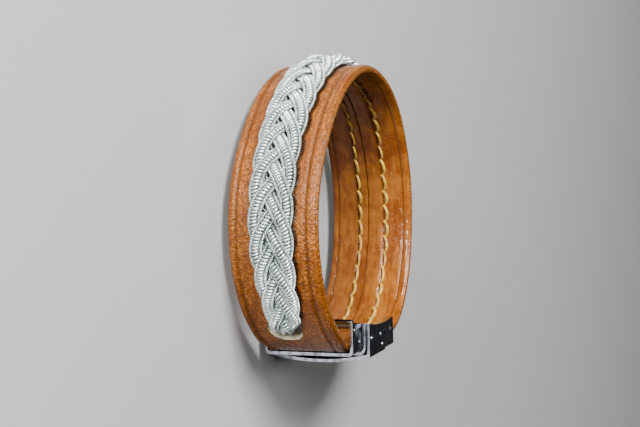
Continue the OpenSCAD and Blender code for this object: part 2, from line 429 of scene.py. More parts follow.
def plain_mesh(host):
    """Turns an object with its modifiers into a plain mesh, and deletes the object."""
    bpy.context.view_layer.update()
    evaluated = host.evaluated_get(bpy.context.evaluated_depsgraph_get())
    mesh = bpy.data.meshes.new_from_object(evaluated)
    host.modifiers.clear()
    bpy.data.objects.remove(host)
    return mesh


def grown(name, mesh, tree, values):
    """The plain mesh that a geometry tree makes of a path mesh."""
    host = bpy.data.objects.new(name, mesh)
    bpy.context.scene.collection.objects.link(host)
    modifier = host.modifiers.new("Grow", "NODES")
    modifier.node_group = tree
    for item in tree.interface.items_tree:
        if item.item_type == "SOCKET" and item.in_out == "INPUT" and item.name in values:
            modifier[item.identifier] = values[item.name]
    return plain_mesh(host)


# Leather band


# Distances of the two holes along the leather, and their sideways place
FRONT_HOLE_S = 20.5
BACK_HOLE_S = 161.3
HOLE_SIDE = -1.3
# Sideways places of the seam and the rows of stitches inside, and the inner groove's distance from the edge
SEAM_SIDE = -0.6
ROW_SIDES = (-2.85, 3.25)
INNER_GROOVE_INSET = 1.75
# Where the band begins to widen behind the front tray, and over what length
TAPER_FROM = 9.5
TAPER_L = 7
# Steps of the grid along the leather, and how near a hole they are fine
ALONG_STEP = 0.7
ALONG_FINE_STEP = 0.35
HOLE_REACH = 4.6
# Steps of the grid across the outside and the inside, and how near a crease or a row they are fine
OUTSIDE_STEP = 0.22
INSIDE_STEP = 0.35
FINE_STEP = 0.1
CREASE_REACH = 1.2
ROW_REACH = 0.35
# Steps round the rim in degrees, fine until past its line
RIM_STEP = 12
RIM_FINE_STEP = 5.5
RIM_FINE_TO = 66
# Half width of a crease, and place, half width and share of depth of the faint line beyond the high one
CREASE_HALF = 0.62
FAINT_BEYOND = 1.45
FAINT_HALF = 0.24
FAINT_SHARE = 0.35
# The fine steps at the high crease lie further out by this, to take in the faint line
FAINT_SHIFT = 0.5
# Bead between a crease and the rim: its height, and the lengths over which it rises and falls
BEAD_HEIGHT = 0.09
BEAD_RISE = 0.7
BEAD_FALL = 0.6
# Line round the rim: its place and half width in degrees, and its depth
RIM_LINE_AT = 46
RIM_LINE_HALF = 11
RIM_LINE_DEPTH = 0.12
# Inside, the leather puffs up between the rows and is pulled in at them, in a wave from stitch to stitch
PUFF = 0.16
PUFF_RISE = 0.7
PULL = 0.13
ROW_HALF = 0.5
STITCH_WAVE = 0.07
# Half widths and depths of the seam and of the inner groove
SEAM_HALF = 0.22
SEAM_DEPTH = 0.26
INNER_GROOVE_HALF = 0.4
INNER_GROOVE_DEPTH = 0.14
# Strength of the painted shade along a row of stitches, where a groove's is 1, and of the painted shadow
# under the braid
ROW_SHADE = 0.75
BRAID_SHADOW_LEVEL = 2
# How far under the braid's edge its painted shadow is full, and over what length it fades
BRAID_SHADOW_INSET = 0.05
BRAID_SHADOW_FADE = 0.75
# Sideways sway of the band: seed, highest phase, and the size and length for a radian of each wave
SWAY_SEED = 11
SWAY_PHASE = 6.28
SWAYS = ((0.05, 9.0), (0.03, 3.7))
# Punch: its sides, what its tip adds to the hole's radius, and height and added radius of each ring above
PUNCH_SIDES = 72
TIP_GROWTH = -0.12
PUNCH_RINGS = ((0.2, 0.0), (1.0, 0.04), (3, 0.1))
# Uneven cut: size and number of the broad and of the fine waves round a hole
BROAD_SIZE = 0.05
BROAD_WAVES = 5
FINE_SIZE = 0.03
FINE_WAVES = 13


def stations(total, step, fine_step, fine_places, reach):
    """Distances along the leather, closer together round the holes."""
    places = [0.0]
    while places[-1] < total:
        near = any(abs(places[-1] - place) < reach for place in fine_places)
        places.append(places[-1] + (fine_step if near else step))
    places[-1] = total
    return np.array(places)


def samples(low, high, step, fine_step, fine_places, reach):
    """Rising numbers from low to high, closer together round some places."""
    numbers = [low]
    while numbers[-1] < high - step:
        near = any(abs(numbers[-1] + fine_step - place) < reach for place in fine_places)
        numbers.append(numbers[-1] + (fine_step if near else step))
    numbers.append(high)
    return np.array(numbers)


def band_outline(leather):
    """The section of the band: its half flat, creases, inner groove and rim, and where its points lie."""
    half = leather.width / MM / 2
    edge_r = leather.thickness / MM / 2
    flat = half - edge_r
    creases = (leather.low_inset / MM - half, half - leather.crease_inset / MM)
    fine_out = (creases[0], creases[1] + FAINT_SHIFT)
    across_out = samples(-flat, flat, OUTSIDE_STEP, FINE_STEP, fine_out, CREASE_REACH)[::-1]
    groove = half - INNER_GROOVE_INSET
    fine_in = (-groove, ROW_SIDES[0], SEAM_SIDE, ROW_SIDES[1], groove)
    across_in = samples(-flat, flat, INSIDE_STEP, FINE_STEP, fine_in, ROW_REACH)
    turn = np.concatenate([np.arange(0, RIM_FINE_TO, RIM_FINE_STEP), np.arange(RIM_FINE_TO, 180, RIM_STEP)])
    rim = np.radians(turn[1:])
    return flat, creases, groove, edge_r, across_out, across_in, rim


def outside_relief(leather, across, creases, flat, edge_r):
    """Height of the grained side, and depth of its grooves as a share of the crease's."""
    crease_depth = leather.crease_depth / MM
    groove = sum(dip(across, crease, CREASE_HALF, crease_depth) for crease in creases)
    groove += dip(across, creases[1] + FAINT_BEYOND, FAINT_HALF, FAINT_SHARE * crease_depth)
    beyond = np.where(across > 0, across - creases[1], creases[0] - across)
    fall = ease((flat + BEAD_FALL / 2 - np.abs(across)) / BEAD_FALL)
    bead = BEAD_HEIGHT * ease(beyond / BEAD_RISE) * fall
    return edge_r - groove + bead, groove / crease_depth


def inside_relief(across, groove, edge_r, phase):
    """Height of the smooth side, and how deep in a groove or a row of stitches each point is, which sets its
    painted shade.
    """
    between = ease((across - ROW_SIDES[0]) / PUFF_RISE) * ease((ROW_SIDES[1] - across) / PUFF_RISE)
    puff = between * (PUFF + STITCH_WAVE * np.cos(phase))
    rows = sum(dip(across, side, ROW_HALF, 1.0) for side in ROW_SIDES)
    pulled = rows * (PULL + STITCH_WAVE * np.cos(phase + np.pi))
    seam = dip(across, SEAM_SIDE, SEAM_HALF, SEAM_DEPTH)
    line = dip(np.abs(across), groove, INNER_GROOVE_HALF, INNER_GROOVE_DEPTH)
    height = -(edge_r + puff - pulled - seam - line)
    depth = rows * ROW_SHADE + seam / SEAM_DEPTH + line / INNER_GROOVE_DEPTH
    return height, np.broadcast_to(depth, height.shape)


def band_points(leather):
    """Grid of points of the band, with distance, side, height and groove of each, the groove carrying the
    painted shadow under the braid as well.
    """
    flat, creases, groove, edge_r, across_out, across_in, rim = band_outline(leather)
    s = stations(route.length, ALONG_STEP, ALONG_FINE_STEP, (FRONT_HOLE_S, BACK_HOLE_S), HOLE_REACH)
    grid_s = s[:, None]
    ones = np.ones_like(grid_s)
    shoulder = ease((s - TAPER_FROM) / TAPER_L)
    width = leather.end_width / MM + (leather.width - leather.end_width) / MM * shoulder
    flat_share = ((width / 2 - edge_r) / flat)[:, None]

    side_out = across_out * flat_share
    height_out, groove_out = outside_relief(leather, across_out, creases, flat, edge_r)
    # Painted shadow of the braid, added to the groove above 1
    shadow = braid_shadow_mask(grid_s, side_out)
    outside = (side_out, height_out * ones, groove_out * ones + BRAID_SHADOW_LEVEL * shadow)

    phase = 2 * np.pi * grid_s / (settings().stitches.pitch / MM)
    inside = (across_in * flat_share, *inside_relief(across_in, groove, edge_r, phase))

    rim_line = dip(rim, math.radians(RIM_LINE_AT), math.radians(RIM_LINE_HALF), RIM_LINE_DEPTH)
    rim_radius = edge_r - rim_line
    rim_side = flat * flat_share + rim_radius * np.sin(rim)
    rim_height = rim_radius * np.cos(rim) * ones
    rim_groove = rim_line / RIM_LINE_DEPTH * ones

    faces = (
        outside,
        (-rim_side, rim_height, rim_groove),
        [values[:, 1:] for values in inside],
        [values[:, ::-1][:, 1:] for values in (rim_side, rim_height, rim_groove)],
    )
    side, height, depth = (np.concatenate(parts, axis=1) for parts in zip(*faces))

    rng = np.random.default_rng(SWAY_SEED)
    sway = sum(size * np.sin(grid_s / wave + rng.uniform(0, SWAY_PHASE)) for size, wave in SWAYS)
    side = side + sway + leather.end_side / MM * (1 - shoulder)[:, None]
    return s, side, height, np.clip(depth, 0, BRAID_SHADOW_LEVEL)


def braid_shadow_mask(s, side):
    """Painted shadow of the braid: 1 under it and along its edge, falling to 0 a little way out on the
    leather.
    """
    size, middle, _, from_end = braid_run(s)
    strands = [middle + size * SWING * np.sin(weave_at(s, k)) for k in range(STRANDS)]
    beside = np.minimum.reduce([np.abs(side - strand) for strand in strands])
    beyond = beside - (BRAID_HALF * size - BRAID_SHADOW_INSET)
    return (1 - ease(beyond / BRAID_SHADOW_FADE)) * (from_end > 0)


def punch(leather):
    """Cutters for the holes, slightly out of round."""
    work = bmesh.new()
    radius = leather.hole_width / MM / 2
    tip = (leather.thickness / MM / 2 - leather.hole_depth / MM, TIP_GROWTH)
    turn = np.linspace(0, 2 * np.pi, PUNCH_SIDES, endpoint=False)
    for s in (FRONT_HOLE_S, BACK_HOLE_S):
        broad = BROAD_SIZE * np.sin(BROAD_WAVES * turn + s)
        fine = FINE_SIZE * np.sin(FINE_WAVES * turn)
        rings = []
        for out, grow in (tip, *PUNCH_RINGS):
            ragged = radius + grow + broad + fine
            points = flat_place(s, ragged * np.cos(turn), out, HOLE_SIDE + ragged * np.sin(turn))
            rings.append([work.verts.new(point) for point in points])
        for low, high in zip(rings, rings[1:]):
            for i in range(PUNCH_SIDES):
                j = (i + 1) % PUNCH_SIDES
                work.faces.new((low[i], low[j], high[j], high[i]))
        # The bottom cap takes the second material, dark with painted shade
        work.faces.new(rings[0][::-1]).material_index = 1
        work.faces.new(rings[-1])
    bmesh.ops.recalc_face_normals(work, faces=work.faces)
    mesh = bpy.data.meshes.new("punch")
    work.to_mesh(mesh)
    work.free()
    return mesh


def flat_place(s, along, out, side):
    """Points of a straight tool that stands on the leather at s."""
    middle = route.place(s, 0, 0)[0]
    outward = route.outward(s)[0]
    _, _, heading = route.at(s)
    forward = np.array([math.cos(heading[0]), math.sin(heading[0]), 0])
    offsets = np.outer(along, forward) + np.outer(np.full_like(along, out), outward)
    offsets[:, 2] += side
    return middle + offsets * MM


# Dark and light shade of each side of the leather, as factors of its red, green and blue
OUTSIDE_DARK = (0.62, 0.50, 0.42)
OUTSIDE_LIGHT = (1.22, 1.34, 1.5)
INSIDE_DARK = (0.64, 0.53, 0.46)
INSIDE_LIGHT = (1.25, 1.5, 1.6)
# Factors of the outside's colour for the painted shade in creases and the painted shadow under the braid, and
# of the raw colour for the painted shade at a hole's bottom
CREASE_TONE = 0.32
BRAID_SHADOW_TONE = 0.05
HOLE_SHADE_TONE = 0.07
# How far in from the band's edge its own colour and the rubbed stretch begin, and where each is full
EDGE_BAND = (0.34, 0.12)
RUBBED_BAND = (1.7, 0.9)


def leather_tone(graph, leather, place, strip, inner):
    """Cloudy and streaked colour of both sides, with dark flecks."""
    mottle = graph.noise(place, 0.16, 4, 0.6)
    streak = graph.noise(strip, 0.9, 3, 0.55, stretch=(0.25, 1, 1))
    fleck = graph.noise(place, 1.6, 3, 0.65)
    tone = graph.math("ADD", graph.math("MULTIPLY", mottle, 0.6), graph.math("MULTIPLY", streak, 0.4))
    dark_out = toned(leather.outside, *OUTSIDE_DARK)
    light_out = toned(leather.outside, *OUTSIDE_LIGHT)
    outside = graph.blend(graph.remap(tone, 0.36, 0.64), dark_out, light_out)
    dark_in = toned(leather.inside, *INSIDE_DARK)
    light_in = toned(leather.inside, *INSIDE_LIGHT)
    inside = graph.blend(graph.remap(tone, 0.38, 0.62), dark_in, light_in)
    base = graph.blend(inner, outside, inside)
    return graph.blend(graph.math("MULTIPLY", graph.remap(fleck, 0.55, 0.75), 0.28), base, dark_out)


def leather_material(leather):
    """Waxed leather: grained outside, smoother inside, rubbed along its edges, with painted shade in its
    creases, grooves, rows and grain valleys and a painted shadow under the braid.
    """
    material, graph, shader = shaded(
        "waxed_cognac_leather", {"IOR": 1.42, "Specular Tint": (1.0, 0.84, 0.70)}
    )
    place = object_mm(graph)
    strip = graph.add("ShaderNodeUVMap", uv_map="strip").outputs["UV"]
    relief = graph.add("ShaderNodeUVMap", uv_map="relief").outputs["UV"]
    side = graph.add("ShaderNodeSeparateXYZ", {"Vector": strip}).outputs["Y"]
    split = graph.add("ShaderNodeSeparateXYZ", {"Vector": relief})
    # The groove holds the depth of creases and grooves, and above 1 the painted shadow under the braid
    height, groove = split.outputs["X"], split.outputs["Y"]
    inner = graph.remap(height, -0.4, -0.85)
    half = leather.width / MM / 2
    off_middle = graph.math("ABSOLUTE", side)
    edge, burnish = (
        graph.remap(off_middle, half - start, half - full) for start, full in (EDGE_BAND, RUBBED_BAND)
    )

    base = leather_tone(graph, leather, place, strip, inner)
    base = graph.blend(graph.math("MULTIPLY", edge, 0.75), base, tuple(leather.edge))
    # Painted shade in the creases, grooves, seam and rows of stitches, by their depth
    painted_shade_colour = toned(leather.outside, CREASE_TONE)
    painted_mask = graph.math("MULTIPLY", graph.remap(groove, 0.05, 0.75), 0.78)
    base = graph.blend(painted_mask, base, painted_shade_colour)

    # Painted shade in the grain's valleys, weaker inside
    cells = graph.add(
        "ShaderNodeTexVoronoi", {"Vector": place, "Scale": 2.2, "Randomness": 1.0}, feature="SMOOTH_F1"
    ).outputs["Distance"]
    pebble = graph.noise(place, 2.5, 3, 0.65)
    valley = graph.math("ADD", graph.remap(cells, 0.26, 0.55), graph.remap(pebble, 0.50, 0.62))
    painted_grain_shade = graph.math("MULTIPLY", valley, graph.math("SUBTRACT", 0.62, graph.math("MULTIPLY", inner, 0.52)))
    base = graph.blend(painted_grain_shade, base, painted_shade_colour)
    # Painted shadow under and beside the braid, near black
    painted_braid_shadow = graph.math("MULTIPLY", graph.remap(groove, 0.9, 2.0), 0.93)
    base = graph.blend(painted_braid_shadow, base, toned(leather.outside, BRAID_SHADOW_TONE))
    graph.feed(shader.inputs["Base Color"], base)

    grain = graph.math("ADD", graph.math("MULTIPLY", cells, 0.9), graph.math("MULTIPLY", pebble, 0.8))
    wrinkle = graph.math("MULTIPLY", graph.noise(place, 0.55, 3, 0.55), 1.2)
    smoothed = graph.math("ADD", graph.math("MULTIPLY", inner, 0.95), graph.math("MULTIPLY", burnish, 0.45))
    coarse = graph.math("SUBTRACT", 1.25, smoothed, clamp=True)
    bumped(graph, shader, graph.math("ADD", graph.math("MULTIPLY", grain, coarse), wrinkle), 0.22)
    dull = graph.math("ADD", graph.math("MULTIPLY", pebble, 0.22), 0.15)
    rubbed = graph.math("MULTIPLY", graph.math("ADD", inner, burnish, clamp=True), 0.08)
    graph.feed(shader.inputs["Roughness"], graph.math("SUBTRACT", dull, rubbed))
    return material


def raw_material(name, shade):
    """Fibrous cut leather."""
    material, graph, shader = shaded(name, {"Roughness": 0.9, "Sheen Weight": 0.2})
    fibre = graph.noise(object_mm(graph), 3.2, 5, 0.7)
    clouded(graph, shader, fibre, 0.38, 0.62, toned(shade, 0.80, 0.78, 0.68), toned(shade, 1.25))
    bumped(graph, shader, fibre, 0.25)
    return material


def write_uv(mesh, name, pairs):
    """Gives each corner of the mesh its point's pair of values as a UV map."""
    layer = mesh.uv_layers.new(name=name)
    corner = np.empty(len(mesh.loops), np.int32)
    mesh.loops.foreach_get("vertex_index", corner)
    layer.data.foreach_set("uv", pairs[corner].astype(np.float32).ravel())


def make_leather(leather):
    """The band with its relief, and the holes punched out of it."""
    s, side, height, groove = band_points(leather)
    rings, around = side.shape
    grid_s = np.broadcast_to(s[:, None], side.shape)
    mesh = grid_mesh("band", route.place(grid_s, height, side), rings, around)
    write_uv(mesh, "strip", np.stack([grid_s.ravel(), side.ravel()], axis=1))
    # The relief map carries the height, and the groove depth with the painted shadow of the braid
    write_uv(mesh, "relief", np.stack([height.ravel(), groove.ravel()], axis=1))
    facing_out(mesh)
    mesh.materials.append(leather_material(leather))

    cutter_mesh = punch(leather)
    cutter_mesh.materials.append(raw_material("raw_leather", leather.raw))
    # Painted shade at the bottom of the holes
    painted_hole_shade = toned(leather.raw, HOLE_SHADE_TONE)
    cutter_mesh.materials.append(raw_material("painted_shade_raw_leather", painted_hole_shade))
    cutter = bpy.data.objects.new("punch", cutter_mesh)
    blank = bpy.data.objects.new("blank", mesh)
    for item in (cutter, blank):
        bpy.context.scene.collection.objects.link(item)
    cut = blank.modifiers.new("Punch", "BOOLEAN")
    cut.operation = "DIFFERENCE"
    cut.solver = "EXACT"
    cut.material_mode = "TRANSFER"
    cut.object = cutter
    finished = plain_mesh(blank)
    bpy.data.objects.remove(cutter)
    finished.name = "leather_band_dressed"
    smooth(finished, sharp_angle=50)
    new_piece("leather_folded", finished, "bracelet", ["leather_band"])


# Stitching


# Steps of a stitch's arc, and sides of its thread
ARC_STEPS = 9
THREAD_SIDES = 8
# Height of a stitch's ends over its row's path, as a share of the thread's width
END_HEIGHT = -0.75
# Lowest and highest random size of a stitch along, across and away from the leather
STITCH_LOW = (0.86, 0.80, 0.86)
STITCH_HIGH = (1.06, 1.25, 1.12)
# Where the rows begin and end along the leather, the step of their paths, and their height over the flat
ROWS_FROM = 14.6
ROWS_TO = 174.4
ROW_STEP = 0.5
ROW_LIFT = 0.1
# Sideways drift of a row: its size and its length for a radian
DRIFT = 0.12
DRIFT_L = 5.0
# Length of a stitch over the pitch, and height of its arc's handles
STITCH_OVERLAP = 1.12
STITCH_RISE = 0.55
# Name, sideways place and slant of each row
STITCH_ROWS = (("stitches_low", ROW_SIDES[0], 0.82), ("stitches_high", ROW_SIDES[1], 1.1))


def stitch_tree(material):
    """Slanted arcs of thread, one after the other along a path."""
    sizes = dict.fromkeys(("Pitch", "Length", "Slant", "Rise", "Thread"), "NodeSocketFloat")
    graph, size, result = new_tree("Stitch row", {**sizes, "Seed": "NodeSocketInt"})
    path = graph.add("GeometryNodeMeshToCurve", {"Mesh": size["Path"]}).outputs["Curve"]
    spaced = graph.add("GeometryNodeResampleCurve", {"Curve": path, "Length": size["Pitch"]}, mode="LENGTH")

    half_l = graph.math("MULTIPLY", size["Length"], 0.5)
    half_slant = graph.math("MULTIPLY", size["Slant"], 0.5)
    sunk = graph.math("MULTIPLY", size["Thread"], END_HEIGHT)

    def corner(along, aside, height):
        """A point of the arc, from shares of half its length and of half its slant."""
        x = graph.math("MULTIPLY", half_l, along)
        y = graph.math("MULTIPLY", half_slant, aside)
        return graph.add("ShaderNodeCombineXYZ", {"X": x, "Y": y, "Z": height}).outputs["Vector"]

    inputs = {
        "Resolution": ARC_STEPS,
        "Start": corner(-1.0, -1.0, sunk),
        "Start Handle": corner(-0.6, 1.5, size["Rise"]),
        "End Handle": corner(0.45, 1.9, size["Rise"]),
        "End": corner(1.0, 0.1, sunk),
    }
    arc = graph.add("GeometryNodeCurvePrimitiveBezierSegment", inputs).outputs["Curve"]
    thread_ring = ring(graph, THREAD_SIDES, graph.math("MULTIPLY", size["Thread"], 0.5))
    stitch = tube(graph, arc, thread_ring)

    tangent = graph.add("GeometryNodeInputTangent").outputs["Tangent"]
    turned = graph.add("FunctionNodeAlignRotationToVector", {"Vector": tangent}, axis="X")
    upright = graph.add(
        "FunctionNodeAlignRotationToVector",
        {"Rotation": turned.outputs["Rotation"], "Vector": path_vector(graph, "away")},
        axis="Z",
        pivot_axis="X",
    )
    uneven = graph.add(
        "FunctionNodeRandomValue",
        {"Min": STITCH_LOW, "Max": STITCH_HIGH, "Seed": size["Seed"]},
        data_type="FLOAT_VECTOR",
    )
    placed = graph.add(
        "GeometryNodeInstanceOnPoints",
        {
            "Points": spaced.outputs["Curve"],
            "Instance": stitch,
            "Rotation": upright.outputs["Rotation"],
            "Scale": uneven.outputs[0],
        },
    )
    graph.feed(result, dressed(graph, [placed.outputs["Instances"]], material))
    return graph.tree


def thread_material(stitches):
    """Waxed thread with the twist of its plies."""
    constants = {"Roughness": 0.42, "Coat Weight": 0.3, "Sheen Weight": 0.15}
    material, graph, shader = shaded("waxed_thread", constants)
    place = object_mm(graph)
    cloud = graph.noise(place, 0.9, 3, 0.6)
    deep = toned(stitches.shade, 0.62, 0.52, 0.42)
    clouded(graph, shader, cloud, 0.36, 0.58, deep, toned(stitches.shade, 1.12))
    ply = graph.noise(place, 5.0, 2, 0.5, stretch=(1, 0.35, 1))
    bumped(graph, shader, ply, 0.06, 0.8)
    return material


def make_stitches(stitches, leather):
    """Two rows of slanted stitches inside the band."""
    tree = stitch_tree(thread_material(stitches))
    lift = leather.thickness / MM / 2 + ROW_LIFT
    s = np.arange(ROWS_FROM, ROWS_TO, ROW_STEP)
    for name, side, slant in STITCH_ROWS:
        points = route.place(s, -lift, side + DRIFT * np.sin(s / DRIFT_L + side))
        path = path_mesh(name, points, {"away": -route.outward(s)})
        values = {
            "Pitch": stitches.pitch,
            "Length": stitches.pitch * STITCH_OVERLAP,
            "Slant": slant * MM,
            "Rise": STITCH_RISE * MM,
            "Thread": stitches.thread,
            "Seed": stitches.seed,
        }
        mesh = grown(name, path, tree, values)
        smooth(mesh)
        new_piece(name, mesh, "bracelet")


# Braid of wound pewter


STRANDS = 5
# Sideways swing of a strand, its rise over and under the others, and how sharply it dives
SWING = 3.45
RISE = 0.74
RISE_SNAP = 0.25
# Length of a whole weave, and its angle in degrees at the front end
WEAVE_L = 29.7
WEAVE_PHASE = 67
# Height of the braid's middle over the leather, its sideways place, and how far it goes past the holes
BRAID_LIFT = 1.41
BRAID_SIDE = 0.35
PAST_HOLE = 1
# Towards an end the braid narrows to a share over a length, and its tip once more
NARROW_L = 24
END_SHARE = 0.75
TIP_L = 5.6
TIP_SHARE = 0.37
# Lengths over which it shifts sideways to a hole and dives into it, and how deep it dives
SHIFT_L = 7.5
DIVE_L = 4.5
DIVE_DEPTH = 1.9
# Half the width of the three coils of a strand
BRAID_HALF = 1.4
# How far the outer coil sinks towards the leather and tucks in under the middle coil where its strand turns
# back, at the high edge and at the low edge
COIL_SINKS = (0.50, 0.14)
COIL_TUCKS = (0.17, 0.02)
BRAID_START = FRONT_HOLE_S - PAST_HOLE
BRAID_END = BACK_HOLE_S + PAST_HOLE
# Points along a strand's middle line
STRAND_POINTS = 420
# Points in a turn of the wire and sides of the wire, in the middle coil and in the side coils
THICK_DETAIL = (11, 6)
THIN_DETAIL = (7, 4)
# Radius of the core, which is dark with painted shadow, over the winding's, and its sides
CORE_SHARE = 0.95
CORE_SIDES = 8
# Distance between the middles of two coils of a strand, over the sum of their widths
COIL_GAP = 0.495


def braid_run(s):
    """Size, sideways middle and height of the braid at distances s, and how far they are from its end."""
    from_end = np.minimum(s - BRAID_START, BRAID_END - s)
    size = END_SHARE + (1 - END_SHARE) * ease(from_end / NARROW_L)
    size = size * (TIP_SHARE + (1 - TIP_SHARE) * ease(from_end / TIP_L))
    middle = HOLE_SIDE + (BRAID_SIDE - HOLE_SIDE) * ease(from_end / SHIFT_L)
    surface = settings().leather.thickness / MM / 2
    base = surface + BRAID_LIFT - DIVE_DEPTH * (1 - ease(from_end / DIVE_L))
    return size, middle, base, from_end


def weave_at(s, k):
    """Angle of strand k in its weave at distances s."""
    return np.radians(WEAVE_PHASE + 360 * (BRAID_START - s) / WEAVE_L + 360 / STRANDS * k)


def strand_line(k):
    """Middle line of a strand, with unit vectors across it and the steps that place its side coils."""
    s = np.linspace(BRAID_START, BRAID_END, STRAND_POINTS)
    size, middle, base, _ = braid_run(s)
    weave = weave_at(s, k)
    out = base + size * RISE * (np.sin(2 * weave) + RISE_SNAP * np.sin(4 * weave))
    swing = np.sin(weave)
    points = route.place(s, out, middle + size * SWING * swing)
    along = np.gradient(points, axis=0)
    along /= np.linalg.norm(along, axis=1)[:, None]
    outward = route.outward(s)
    across = np.cross(outward, along)
    across /= np.linalg.norm(across, axis=1)[:, None]
    sink_high, sink_low = (
        (way * tuck * across - sink * outward) * (size * MM * np.clip(way * swing, 0, 1) ** 2)[:, None]
        for way, sink, tuck in zip((1, -1), COIL_SINKS, COIL_TUCKS)
    )
    steps = {"across": across, "beside": across * size[:, None], "sink_high": sink_high, "sink_low": sink_low}
    return points, steps


def wound_coil(graph, path, across, lane, sizes, detail):
    """Wire wound round a line that lies a vector beside the path, and the core inside it."""
    coil, wire, pitch, flatness = sizes
    steps, sides = detail
    moved = graph.add("GeometryNodeSetPosition", {"Geometry": path, "Offset": lane}).outputs["Geometry"]
    wide = graph.math("MULTIPLY", graph.math("SUBTRACT", coil, wire), 0.5)
    high = graph.math("MULTIPLY", wide, flatness)
    step = graph.math("DIVIDE", pitch, steps)
    fine = graph.add("GeometryNodeResampleCurve", {"Curve": moved, "Length": step}, mode="LENGTH")
    gone = graph.add("GeometryNodeSplineParameter").outputs["Length"]
    turn = graph.math("MULTIPLY", graph.math("DIVIDE", gone, pitch), 2 * math.pi)
    tangent = graph.add("GeometryNodeInputTangent").outputs["Tangent"]
    upward = graph.vector("NORMALIZE", graph.vector("CROSS_PRODUCT", tangent, across))
    sideways = graph.scaled(across, graph.math("MULTIPLY", wide, graph.math("COSINE", turn)))
    upwards = graph.scaled(upward, graph.math("MULTIPLY", high, graph.math("SINE", turn)))
    off_middle = graph.vector("ADD", sideways, upwards)
    helix = graph.add("GeometryNodeSetPosition", {"Geometry": fine.outputs["Curve"], "Offset": off_middle})
    plain = graph.add("GeometryNodeResampleCurve", {"Curve": moved, "Length": coil}, mode="LENGTH")
    wire_ring = ring(graph, sides, graph.math("MULTIPLY", wire, 0.5))
    core_ring = ring(graph, CORE_SIDES, graph.math("MULTIPLY", wide, CORE_SHARE))
    winding = tube(graph, helix.outputs["Geometry"], wire_ring)
    core = tube(graph, plain.outputs["Curve"], core_ring)
    return winding, core


def strand_tree(wire_finish, shadow_core_finish):
    """A thick wound coil with a thin one on each side, the wires in one finish and the cores in a near-black
    one that paints the shadow inside the coils.
    """
    keys = ("Thick", "Thick wire", "Thick pitch", "Flatness", "Thin", "Thin wire", "Thin pitch")
    graph, size, result = new_tree("Trio of coils", dict.fromkeys(keys, "NodeSocketFloat"))
    path = graph.add("GeometryNodeMeshToCurve", {"Mesh": size["Path"]}).outputs["Curve"]
    across, beside, sink_high, sink_low = (
        path_vector(graph, name) for name in ("across", "beside", "sink_high", "sink_low")
    )
    gap = graph.math("MULTIPLY", graph.math("ADD", size["Thick"], size["Thin"]), COIL_GAP)
    thick = (size["Thick"], size["Thick wire"], size["Thick pitch"], size["Flatness"])
    thin = (size["Thin"], size["Thin wire"], size["Thin pitch"], 1.0)
    coils = [wound_coil(graph, path, across, (0, 0, 0), thick, THICK_DETAIL)]
    for way, sink in ((-1.0, sink_high), (1.0, sink_low)):
        lane = graph.vector("ADD", graph.scaled(beside, graph.math("MULTIPLY", gap, way)), sink)
        coils.append(wound_coil(graph, path, across, lane, thin, THIN_DETAIL))
    windings, cores = zip(*coils)
    trio = graph.add("GeometryNodeJoinGeometry")
    graph.feed(trio.inputs["Geometry"], dressed(graph, windings, wire_finish))
    graph.feed(trio.inputs["Geometry"], dressed(graph, cores, shadow_core_finish))
    graph.feed(result, trio.outputs["Geometry"])
    return graph.tree


def pewter_material(braid):
    """Worn pewter wire."""
    material, graph, shader = shaded("pewter_wire", {"Metallic": 0.86, "Roughness": 0.3})
    place = object_mm(graph)
    cloud = graph.noise(place, 0.5, 3, 0.6)
    clouded(graph, shader, cloud, 0.35, 0.6, toned(braid.shade, 0.72), tuple(braid.shade))
    fine = graph.noise(place, 9.0, 2, 0.5)
    graph.feed(shader.inputs["Roughness"], graph.remap(fine, 0.3, 0.7, 0.20, 0.36))
    return material


def shadow_core_material(braid):
    """Near-black core: painted shadow that shows dark between the turns of the wire."""
    material, graph, shader = shaded("painted_shadow_core", {"Roughness": 0.9, "Specular IOR Level": 0.1})
    cloud = graph.noise(object_mm(graph), 1.5, 3, 0.6)
    clouded(graph, shader, cloud, 0.35, 0.65, toned(braid.shade, 0.012), toned(braid.shade, 0.05))
    return material


def make_braid(braid):
    """Five strands, each of three wound coils."""
    tree = strand_tree(pewter_material(braid), shadow_core_material(braid))
    values = {
        "Thick": braid.thick,
        "Thick wire": braid.thick_wire,
        "Thick pitch": braid.thick_pitch,
        "Flatness": braid.flatness,
        "Thin": braid.thin,
        "Thin wire": braid.thin_wire,
        "Thin pitch": braid.thin_pitch,
    }
    for k in range(STRANDS):
        points, steps = strand_line(k)
        name = f"wound_strand_{k + 1}"
        mesh = grown(name, path_mesh(name, points, steps), tree, values)
        smooth(mesh)
        new_piece(name, mesh, "bracelet", [f"braid_strand_{k + 1}"])


# Clasp


# The body that each part of the clasp rides on
CLASP_BODIES = {
    "front_tray": "bracelet",
    "back_housing": "bracelet",
    "hinge_pin": "bracelet",
    "clasp_cover": "cover",
}
# Faces narrower than this, with sharp edges all round, are cut rims of the sheet, which take the painted
# highlight
SHEET_RIM = 0.0008
# Points nearer to each other than this are merged
MERGE = 1e-6
# An edge is broken where its faces turn by more than this, in radians
SHARP_TURN = 0.6


def steel_material(clasp):
    """Polished steel with soft smears and fine scratches."""
    material, graph, shader = shaded("polished_steel", {"Metallic": 1.0, "Roughness": 0.16})
    place = object_mm(graph)
    smear = graph.noise(place, 0.35, 3, 0.55)
    clouded(graph, shader, smear, 0.35, 0.65, toned(clasp.shade, 0.82), tuple(clasp.shade))
    scratch = graph.noise(place, 2.2, 4, 0.7, stretch=(0.15, 2.5, 0.6))
    graph.feed(shader.inputs["Roughness"], graph.remap(scratch, 0.3, 0.7, 0.07, 0.18))
    bumped(graph, shader, scratch, 0.012, 0.5)
    return material


